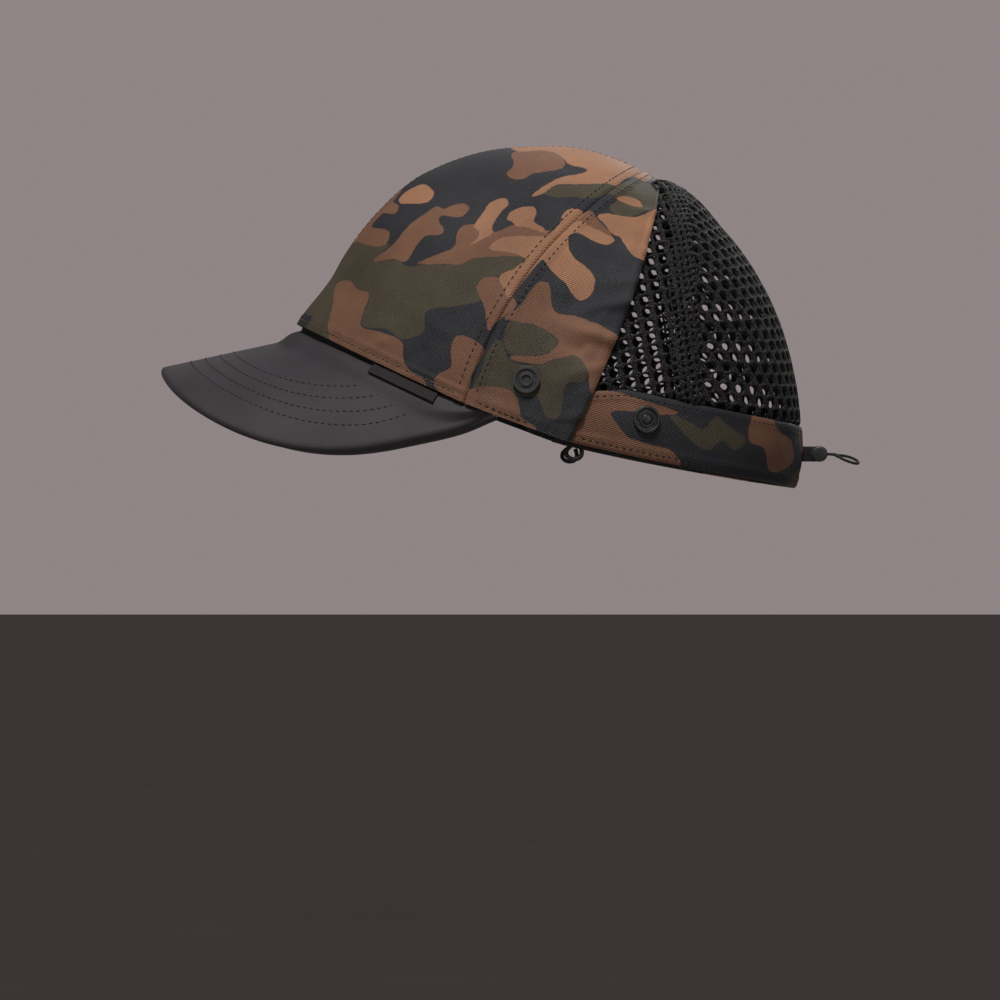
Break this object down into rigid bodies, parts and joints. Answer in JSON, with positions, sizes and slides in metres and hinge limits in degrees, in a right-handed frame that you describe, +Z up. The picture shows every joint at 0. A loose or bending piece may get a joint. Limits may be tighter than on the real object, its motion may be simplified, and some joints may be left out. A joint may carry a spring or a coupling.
{
  "type": "cap",
  "caption": "Camouflage field cap with a curved black visor, open mesh back, snaps at the sides and a drawcord with a spring cord lock behind.",
  "frame": {"origin": "centre of the head opening, held by the wearer's head", "axes": "+X towards the back of the head, -Y towards the wearer's left, +Z up as worn"},
  "size_m": [0.2795, 0.1634, 0.1365],
  "materials": {
    "camouflage_twill": "matt printed twill",
    "black_cloth": "smooth plain weave with a faint sheen",
    "black_spacer_mesh": "matt open spacer mesh",
    "black_tape": "matt woven tape",
    "black_towelling": "matt soft lining",
    "drawcord": "matt braided cord",
    "visor_board": "plain moulded sheet",
    "snap_resin": "satin moulded resin",
    "lock_resin": "fine-textured moulded resin",
    "spring_steel": "bright drawn wire"
  },
  "bodies": {
    "cap": {"front_panel_left": "camouflage_twill", "front_panel_right": "camouflage_twill", "side_panel_left": "camouflage_twill", "side_panel_right": "camouflage_twill", "rear_band": "camouflage_twill", "mesh_side_left": "black_spacer_mesh", "mesh_side_right": "black_spacer_mesh", "mesh_strip_left": "black_spacer_mesh", "mesh_strip_right": "black_spacer_mesh", "mesh_back": "black_spacer_mesh", "side_seam_tape_left": "black_tape", "side_seam_tape_right": "black_tape", "centre_seam_tape": "black_tape", "inner_band_front": "black_cloth", "rear_band_lining": "black_cloth", "visor_top_cover": "black_cloth", "visor_under_cover": "black_cloth", "sweatband": "black_towelling", "drawcord_left": "drawcord", "drawcord_right": "drawcord", "drawcord_tail": "drawcord", "visor_board": "visor_board", "snap_face_side_left": "snap_resin", "snap_face_side_right": "snap_resin", "snap_back_side_left": "snap_resin", "snap_back_side_right": "snap_resin", "snap_face_band_left": "snap_resin", "snap_face_band_right": "snap_resin", "snap_back_band_left": "snap_resin", "snap_back_band_right": "snap_resin"},
    "pull_tab": {"pull_tab": "black_tape"},
    "ear_loop_left": {"ear_loop_left": "drawcord"},
    "ear_loop_right": {"ear_loop_right": "drawcord"},
    "cord_lock": {"cord_lock_body": "lock_resin", "cord_lock_spring": "spring_steel"},
    "lock_button": {"cord_lock_button": "lock_resin"}
  },
  "joints": [
    {"name": "pull_tab_flex", "type": "hinge", "parent": "cap", "child": "pull_tab", "pos_m": [-0.0552, -0.0646, 0.0099], "axis": [0.8151, -0.4288, -0.3895], "range_deg": [-10, 20], "stiffness_Nm_per_rad": 0.002},
    {"name": "ear_loop_left_swing", "type": "hinge", "parent": "cap", "child": "ear_loop_left", "pos_m": [0.011, -0.078, -0.0155], "axis": [0.95, 0, -0.3123], "range_deg": [-30, 30]},
    {"name": "ear_loop_right_swing", "type": "hinge", "parent": "cap", "child": "ear_loop_right", "pos_m": [0.011, 0.078, -0.0155], "axis": [0.95, 0, -0.3123], "range_deg": [-30, 30]},
    {"name": "cord_lock_slide", "type": "slide", "parent": "cap", "child": "cord_lock", "axis": [1, 0, 0], "range_m": [0, 0.003]},
    {"name": "lock_button_press", "type": "slide", "parent": "cord_lock", "child": "lock_button", "axis": [0, 1, 0], "range_m": [0, 0.002], "stiffness_N_per_m": 600, "deforming": ["cord_lock_spring"]}
  ]
}
